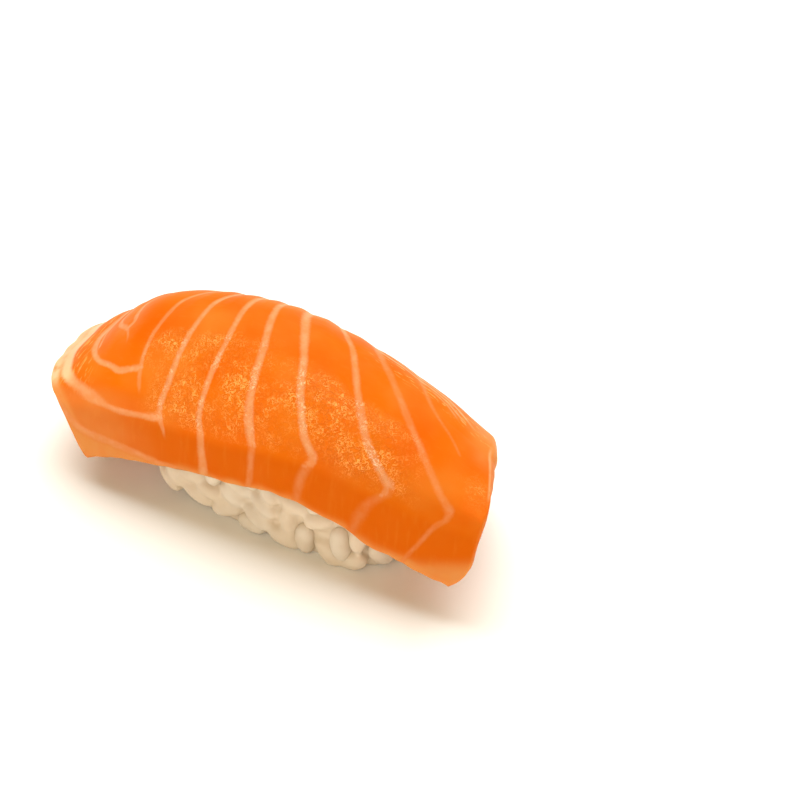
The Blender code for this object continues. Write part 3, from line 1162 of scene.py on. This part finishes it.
@dataclass
class RiceBall:
    """The pressed ball of rice: a bumpy core with cooked grains bedded in it all over."""

    drape: Drape = field(default_factory=Drape)
    finish: RiceFinish = field(default_factory=RiceFinish)
    length: float = 48.6
    width: float = 26.4
    belly: float = 8.2
    crown: float = 25.0
    below: float = 18.0
    end_squareness: float = 4.2
    side_squareness: float = 2.5
    skew: float = 0.045
    heel_rise: float = 4.2
    heel_start: float = -3.0
    heel_span: float = 21.0
    heel_height: float = 13.0
    core_inset: float = 1.25
    foot_level: float = 2.6
    seat_gap: float = 0.15
    grain_length: float = 5.8
    grain_width: float = 3.2
    voxel: float = 0.32
    seed: int = 7

    def _loaf(self, directions: Array, inset: float) -> Array:
        """Points of the loaf's smooth outline.

        Args:
            directions: Directions from its middle, one a row.
            inset: How far inside the outline the points lie.

        Returns:
            One point a row.
        """
        d = np.abs(directions)
        tall = np.where(directions[:, 2] > 0.0, self.crown - self.belly, self.below)
        half = np.stack(
            [np.full(len(d), self.length / 2.0), np.full(len(d), self.width / 2.0), tall], axis=1
        ) - inset
        plan = d[:, 0] ** self.end_squareness + d[:, 1] ** self.end_squareness
        plan = plan ** (self.side_squareness / self.end_squareness)
        norm = (plan + d[:, 2] ** self.side_squareness) ** (1.0 / self.side_squareness)
        points = directions * half / norm[:, None]
        points[:, 1] -= self.skew * points[:, 0]
        points[:, 2] += self.belly
        return points

    def _settle(self, points: Array, inset: float) -> Array:
        """Stand points on the table, with the left heel raised, and keep them under the slice.

        Args:
            points: The points.
            inset: How far above the table the lowest of them stay.

        Returns:
            The points, moved.
        """
        moved = points.copy()
        height = np.maximum(moved[:, 2], inset)
        along = np.clip((self.heel_start - moved[:, 0]) / self.heel_span, 0.0, 1.0)
        low = np.clip(1.0 - height / self.heel_height, 0.0, 1.0)
        ceiling = self.drape.underside_height(moved[:, 0], moved[:, 1]) - self.seat_gap
        moved[:, 2] = np.minimum(height + self.heel_rise * along ** 1.6 * low, ceiling)
        return moved

    def _core(self) -> Shell:
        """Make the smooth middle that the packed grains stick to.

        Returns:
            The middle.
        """
        bm = bmesh.new()
        bmesh.ops.create_icosphere(bm, subdivisions=5, radius=1.0)
        directions = np.array([v.co.normalized() for v in bm.verts])
        faces = np.array([[v.index for v in f.verts] for f in bm.faces])
        bm.free()
        return Shell(self._loaf(directions, self.core_inset), faces)

    def _grain_form(self, fineness: int) -> tuple[Array, Array]:
        """One cooked grain: plump, a little bent and blunt at its ends.

        Args:
            fineness: How finely it is meshed.

        Returns:
            Its points in millimetres, its length along X, and its triangles.
        """
        bm = bmesh.new()
        bmesh.ops.create_icosphere(bm, subdivisions=fineness, radius=1.0)
        points = np.array([v.co for v in bm.verts])
        faces = np.array([[v.index for v in f.verts] for f in bm.faces])
        bm.free()
        x = np.abs(points[:, 0])
        ring = np.sqrt(np.maximum(1.0 - x ** 2, 1e-9))
        plump = np.sqrt(np.maximum(1.0 - x ** 2.7, 0.0)) / ring
        points[:, 1] *= self.grain_width / 2.0 * plump
        points[:, 2] *= self.grain_width / 2.0 * 0.88 * plump
        points[:, 1] += 0.25 * (1.0 - x ** 2)
        points[:, 0] *= self.grain_length / 2.0
        return points, faces

    def _outline(self) -> tuple[Array, Array]:
        """Spread places evenly over the outline, its flat underside too.

        Returns:
            The places, and the outward direction at each.
        """
        count = 9000
        k = np.arange(count) + 0.5
        z = 1.0 - 2.0 * k / count
        turn = np.pi * (1.0 + 5.0 ** 0.5) * k
        ring = np.sqrt(1.0 - z * z)
        directions = np.stack([ring * np.cos(turn), ring * np.sin(turn), z], axis=1)
        places = self._loaf(directions, 0.0)
        across = np.cross(directions, [0.0, 0.0, 1.0]) + 1e-6
        across /= np.linalg.norm(across, axis=1, keepdims=True)
        upward = np.cross(across, directions)
        step = 1e-3
        side_a = self._loaf(directions + across * step, 0.0) - places
        side_b = self._loaf(directions + upward * step, 0.0) - places
        outward = np.cross(side_a, side_b)
        outward /= np.linalg.norm(outward, axis=1, keepdims=True)
        outward *= np.sign((outward * directions).sum(axis=1, keepdims=True))
        below = places[:, 2] < 0.0
        reach = (places[below, 2] + self.below - self.belly) / (self.below - self.belly)
        places[below, :2] *= np.clip(reach, 0.0, 1.0)[:, None] ** 0.5
        places[below, 2] = 0.0
        outward[below] = (0.0, 0.0, -1.0)
        return places, outward

    def _lay(
        self, rng: np.random.Generator, layer: Layer, taken: list[Array]
    ) -> tuple[Shell, Array]:
        """Lay one layer of grains all round the ball, so that they hardly cut into each other.

        Args:
            rng: Seeded source of chance.
            layer: How the layer lies.
            taken: Places already filled at this depth, which grow by this layer's grains.

        Returns:
            The grains, and how warm each of their points looks.
        """
        form, faces = self._grain_form(layer.fineness)
        places, outward = self._outline()
        reach = (self.grain_length - self.grain_width) / 2.0
        filled = np.concatenate(taken) if taken else np.full((1, 3), 1e3)
        points = []
        corners = []
        tone_and_crease_light = []
        order = rng.permutation(len(places)) if layer.scattered else np.arange(len(places))
        for i in np.repeat(order, 1 if layer.scattered else 3):
            turn = Vector(outward[i]).to_track_quat("Z", "Y").to_matrix()
            spin = rng.uniform(0.0, np.pi) if places[i, 2] > self.foot_level else rng.normal(0.0, 0.4)
            turn = turn @ Matrix.Rotation(spin, 3, "Z")
            turn = np.array(turn @ Matrix.Rotation(rng.normal(0.0, layer.tilt), 3, "Y"))
            middle = places[i] - outward[i] * rng.uniform(*layer.sunk)
            beads = middle + np.outer([-reach, 0.0, reach], turn[:, 0])
            gaps = np.linalg.norm(filled[:, None] - beads[None], axis=2)
            if gaps.min() < layer.spacing:
                continue
            taken.append(beads)
            filled = np.concatenate([filled, beads])
            size = np.array([1.0, rng.uniform(0.92, 1.08), 1.0]) * rng.uniform(0.92, 1.08)
            corners.append(faces + len(form) * len(points))
            points.append((form * size) @ turn.T + middle)
            tone_and_crease_light.append(np.full(len(form), rng.uniform(0.0, 0.35)))
        return Shell(np.concatenate(points), np.concatenate(corners)), np.concatenate(tone_and_crease_light)

    def _fuse(self, shells: Sequence[Shell]) -> Shell:
        """Press shells into one skin, with soft creases where they meet.

        Args:
            shells: The shells.

        Returns:
            The skin.
        """
        shift = 0
        points = []
        faces = []
        for shell in shells:
            points.append(shell.points)
            faces.append(shell.quads + shift)
            shift += len(shell.points)
        heap = Shell(np.concatenate(points), np.concatenate(faces)).build("heap", {})
        press = heap.modifiers.new("press", "REMESH")
        press.mode = "VOXEL"
        press.voxel_size = self.voxel * MM
        view = bpy.context.evaluated_depsgraph_get()
        mesh = heap.evaluated_get(view).to_mesh()
        flat = np.empty(len(mesh.vertices) * 3)
        mesh.vertices.foreach_get("co", flat)
        loops = np.empty(len(mesh.loops), dtype=np.int64)
        mesh.loops.foreach_get("vertex_index", loops)
        skin = Shell(flat.reshape(-1, 3) / MM, loops.reshape(-1, 4))
        bpy.data.objects.remove(heap)
        skin.soften(np.ones(len(skin.points)), 7)
        return skin

    def _sunken(self, points: Array) -> Array:
        """Tell how deep points lie below the outline.

        Args:
            points: The points.

        Returns:
            0 at the outline, 1 well inside it.
        """
        middle = np.array([0.0, 0.0, self.belly])
        spokes = points - middle
        spokes[:, 1] += self.skew * spokes[:, 0]
        outline = self._loaf(spokes / np.linalg.norm(spokes, axis=1, keepdims=True), 0.0)
        depth = np.linalg.norm(outline - middle, axis=1) - np.linalg.norm(spokes, axis=1)
        return rise(depth, 0.2, 2.4)

    def build(self) -> list[bpy.types.Object]:
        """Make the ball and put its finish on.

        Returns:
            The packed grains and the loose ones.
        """
        rng = np.random.default_rng(self.seed)
        taken: list[Array] = []
        loose, tone_and_crease_light = self._lay(rng, Layer((1.05, 1.25), 5.4, 0.10, 3, True), taken)
        outer, _ = self._lay(rng, Layer((0.80, 1.10), 2.3, 0.10, 2), taken)
        packed = self._fuse([self._core(), outer])
        # How deep each point lies, which sets the painted crease light.
        hollow = self._sunken(packed.points)
        packed.points = self._settle(packed.points, 0.0)
        loose.points = self._settle(loose.points, 0.0)
        pieces = [
            packed.build("packed_rice", {"tone_and_crease_light": hollow}),
            loose.build("loose_rice", {"tone_and_crease_light": tone_and_crease_light}),
        ]
        look = self.finish.material()
        for piece in pieces:
            piece.data.materials.append(look)
            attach(piece, "root")
            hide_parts("rice")
        return pieces


# ---------------------------------------------------------------------------------------------
# Table, light and camera


@dataclass
class Studio:
    """A pale table under soft light, and the camera."""

    azimuth: float = 31.0
    elevation: float = 34.0
    distance: float = 0.4085
    aim: Point = (0.0096, 0.0142, 0.0122)
    lens: float = 120.0
    sky: Colour = (1.0, 0.77, 0.36)
    sky_strength: float = 0.41
    horizon: Colour = (0.95, 0.94, 0.92)
    screen_from: Point = (-0.15, 0.38, 0.91)
    screen_power: float = 3.75
    screen_spread: float = 70.0
    fill_from: Point = (0.15, -0.93, 0.27)
    fill_colour: Colour = (1.0, 0.92, 0.78)
    fill_power: float = 1.2
    fill_spread: float = 60.0

    def _table(self) -> None:
        """Lay the table."""
        bm = bmesh.new()
        bmesh.ops.create_grid(bm, x_segments=1, y_segments=1, size=3.0)
        mesh = bpy.data.meshes.new("table")
        bm.to_mesh(mesh)
        bm.free()
        table = bpy.data.objects.new("table", mesh)
        table.location.z = -0.00005
        bpy.context.scene.collection.objects.link(table)
        mesh.materials.append(TableFinish().material())

    def _sky(self) -> None:
        """Light everything softly from all round."""
        g = SkyGraph("soft_room")
        direction = g.node("ShaderNodeTexCoord", output="Generated")
        height = g.node("ShaderNodeSeparateXYZ", inputs={0: direction}, output="Z")
        overhead = tuple(c * self.sky_strength for c in self.sky)
        stops = ((0.15, self.horizon), (0.30, overhead))
        colour = g.node("ShaderNodeValToRGB", {"stops": stops}, {0: height})
        g.feed(g.shader.inputs["Color"], colour)
        bpy.context.scene.world = g.world

    def _lamp(
        self, name: str, place: Point, power: float, spread: float,
        colour: Colour = (1.0, 1.0, 1.0),
    ) -> None:
        """Shine a wide soft light from one side.

        Args:
            name: Its name.
            place: Direction that the light comes from.
            power: Its power.
            spread: How wide it looks from the object, in degrees.
            colour: Its colour.
        """
        light = bpy.data.lights.new(name, "SUN")
        light.energy = power
        light.color = colour
        light.angle = float(np.radians(spread))
        hung = bpy.data.objects.new(name, light)
        hung.location = place
        hung.rotation_euler = Vector(place).to_track_quat("Z", "Y").to_euler()
        bpy.context.scene.collection.objects.link(hung)

    def _camera(self) -> None:
        """Set up the camera."""
        a = np.radians(self.azimuth)
        e = np.radians(self.elevation)
        back = Vector((np.sin(a) * np.cos(e), -np.cos(a) * np.cos(e), np.sin(e)))
        data = bpy.data.cameras.new("camera")
        data.lens = self.lens
        data.sensor_width = 36.0
        data.clip_start = 0.01
        camera = bpy.data.objects.new("camera", data)
        camera.location = Vector(self.aim) + back * self.distance
        camera.rotation_euler = back.to_track_quat("Z", "Y").to_euler()
        bpy.context.scene.collection.objects.link(camera)
        bpy.context.scene.camera = camera

    def build(self) -> None:
        """Set the whole studio up."""
        self._camera()
        self._table()
        self._sky()
        self._lamp("screen", self.screen_from, self.screen_power, self.screen_spread)
        self._lamp("fill", self.fill_from, self.fill_power, self.fill_spread, self.fill_colour)
        view = bpy.context.scene.view_settings
        view.view_transform = "Standard"
        view.look = "None"


def main() -> None:
    """Build everything in order and report each piece."""
    logging.basicConfig(level=logging.INFO, format="%(message)s")
    Studio().build()
    pieces = [SalmonSlice().build(), *RiceBall().build()]
    for piece in pieces:
        log.info("%s: %d points, %d faces", piece.name, len(piece.data.vertices),
                 len(piece.data.polygons))


if __name__ == "__main__":
    main()
